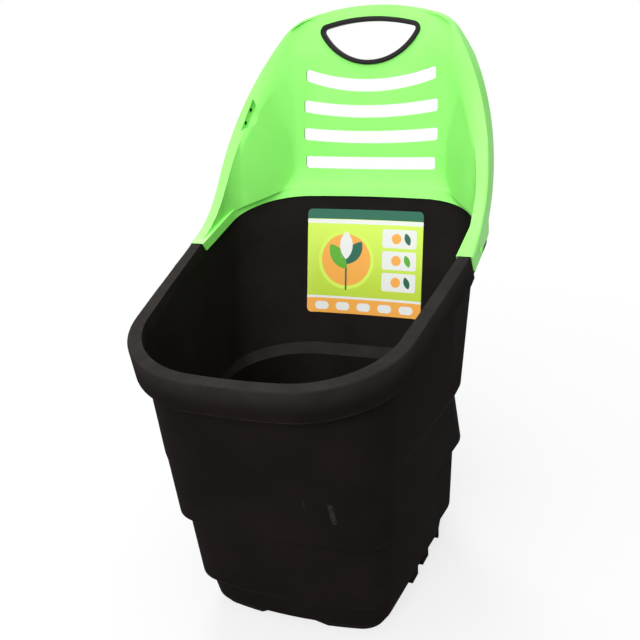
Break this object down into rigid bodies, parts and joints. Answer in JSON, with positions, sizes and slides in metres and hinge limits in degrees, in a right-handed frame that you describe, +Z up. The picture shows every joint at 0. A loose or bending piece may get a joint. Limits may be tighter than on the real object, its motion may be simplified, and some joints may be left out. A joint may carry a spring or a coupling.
{
  "type": "garden trolley",
  "caption": "Stepped plastic bucket on feet and rear wheels, with a climbing rim and a tall slotted handle panel with a hand opening, for moving garden waste and tools.",
  "frame": {"origin": "on the floor, under the middle of the trolley's outer box", "axes": "+Z up, the front of the bucket faces -Y, X runs across the trolley"},
  "size_m": [0.4536, 0.6249, 0.85],
  "materials": {
    "bucket_plastic": "moulded, satin, fine grain",
    "panel_plastic": "moulded, satin",
    "grip_plastic": "moulded, satin",
    "label_print": "printed film",
    "steel": "zinc plated",
    "wheel_plastic": "moulded, satin",
    "tyre_rubber": "moulded rubber",
    "bush_plastic": "moulded"
  },
  "bodies": {
    "trolley": {"bucket": "bucket_plastic", "handle_panel": "panel_plastic", "grip_front": "grip_plastic", "grip_rear": "grip_plastic", "label_sheet": "label_print", "panel_screws": "steel", "axle": "steel", "clamp_screws": "steel", "axle_clamp_left": "bucket_plastic", "inner_washer_left": "steel", "outer_washer_left": "steel", "axle_retainer_left": "steel", "axle_clamp_right": "bucket_plastic", "inner_washer_right": "steel", "outer_washer_right": "steel", "axle_retainer_right": "steel"},
    "left_wheel": {"wheel_left": "wheel_plastic", "tyre_left": "tyre_rubber", "hub_bush_left": "bush_plastic", "hub_cap_left": "wheel_plastic"},
    "right_wheel": {"wheel_right": "wheel_plastic", "tyre_right": "tyre_rubber", "hub_bush_right": "bush_plastic", "hub_cap_right": "wheel_plastic"}
  },
  "joints": [
    {"name": "left_wheel_spin", "type": "hinge", "parent": "trolley", "child": "left_wheel", "pos_m": [-0.099, 0.128, 0.08], "axis": [1, 0, 0], "continuous": true},
    {"name": "right_wheel_spin", "type": "hinge", "parent": "trolley", "child": "right_wheel", "pos_m": [0.099, 0.128, 0.08], "axis": [1, 0, 0], "continuous": true}
  ]
}
